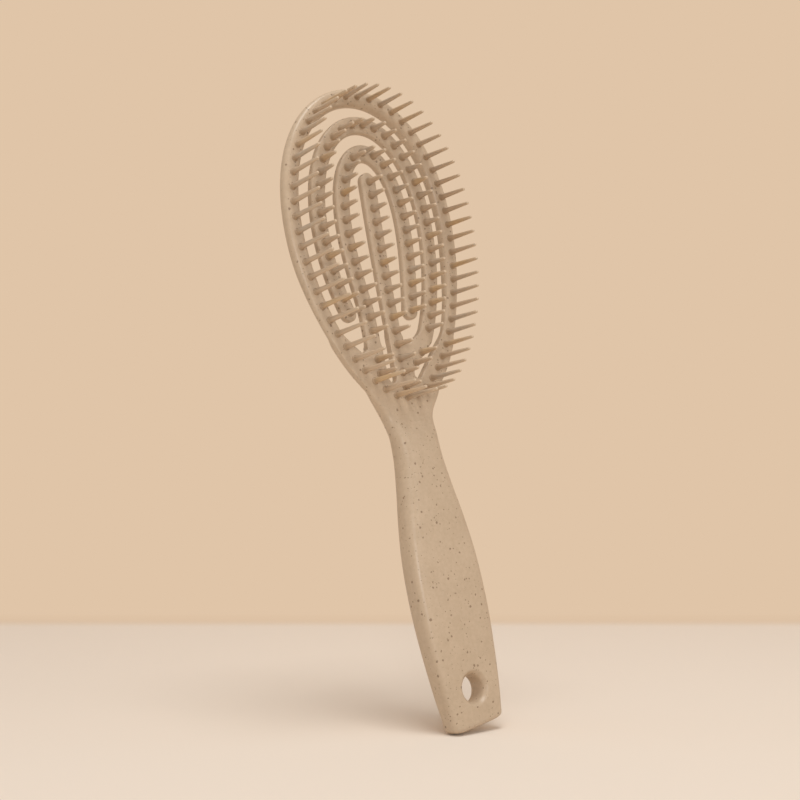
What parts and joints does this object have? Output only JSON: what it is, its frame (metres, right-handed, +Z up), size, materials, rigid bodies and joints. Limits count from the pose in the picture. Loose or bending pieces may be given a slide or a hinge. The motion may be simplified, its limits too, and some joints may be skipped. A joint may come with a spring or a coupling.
{
  "type": "detangling hair brush",
  "caption": "Vented detangling brush: flat handle with a hang hole and an oval head cut by one labyrinth slot into a rim, two springy arch arms and a centre finger, set with tapered pins.",
  "frame": {"origin": "middle of the hang hole, on its axis and half way through the handle", "axes": "+Z up the handle to the crown of the head, +Y out of the back of the brush, the pins point to -Y, +X to the right as seen from the side of the pins"},
  "size_m": [0.0748, 0.0243, 0.2261],
  "materials": {
    "straw_plastic": "matte wheat-straw filled plastic, beige with small scattered brown flecks",
    "pin_plastic": "the same moulded plastic, slightly warmer in the thin tapered pins"
  },
  "bodies": {
    "body_frame": {"handle": "straw_plastic", "head_base": "straw_plastic", "outer_rim": "straw_plastic", "rim_pins_crown": "pin_plastic", "rim_pins_right": "pin_plastic", "rim_pins_left": "pin_plastic", "base_pins": "pin_plastic"},
    "outer_arm_root": {"outer_arm_root_leg": "straw_plastic", "outer_pins_root_leg": "pin_plastic"},
    "outer_arm_free": {"outer_arm_free_leg": "straw_plastic", "outer_pins_free_leg": "pin_plastic"},
    "inner_arm_root": {"inner_arm_root_leg": "straw_plastic", "inner_pins_root_leg": "pin_plastic"},
    "inner_arm_free": {"inner_arm_free_leg": "straw_plastic", "inner_pins_free_leg": "pin_plastic"},
    "finger": {"centre_finger": "straw_plastic", "finger_pins": "pin_plastic"}
  },
  "joints": [
    {"name": "outer_arm_root_flex", "type": "hinge", "parent": "body_frame", "child": "outer_arm_root", "pos_m": [0.0138, 0.0024, 0.1213], "axis": [1, 0, 0], "range_deg": [-5, 5], "stiffness_Nm_per_rad": 1.2},
    {"name": "outer_arm_crown_flex", "type": "hinge", "parent": "outer_arm_root", "child": "outer_arm_free", "pos_m": [-0.0019, -0.00085, 0.1994], "axis": [1, 0, 0], "range_deg": [-5, 5], "stiffness_Nm_per_rad": 0.8},
    {"name": "inner_arm_root_flex", "type": "hinge", "parent": "body_frame", "child": "inner_arm_root", "pos_m": [-0.0099, 0.0024, 0.1177], "axis": [1, 0, 0], "range_deg": [-5, 5], "stiffness_Nm_per_rad": 1.2},
    {"name": "inner_arm_crown_flex", "type": "hinge", "parent": "inner_arm_root", "child": "inner_arm_free", "pos_m": [0.0012, -0.00006, 0.1891], "axis": [1, 0, 0], "range_deg": [-5, 5], "stiffness_Nm_per_rad": 0.8},
    {"name": "finger_root_flex", "type": "hinge", "parent": "body_frame", "child": "finger", "pos_m": [0, 0.0024, 0.12165], "axis": [1, 0, 0], "range_deg": [-6, 6], "stiffness_Nm_per_rad": 1.5}
  ]
}
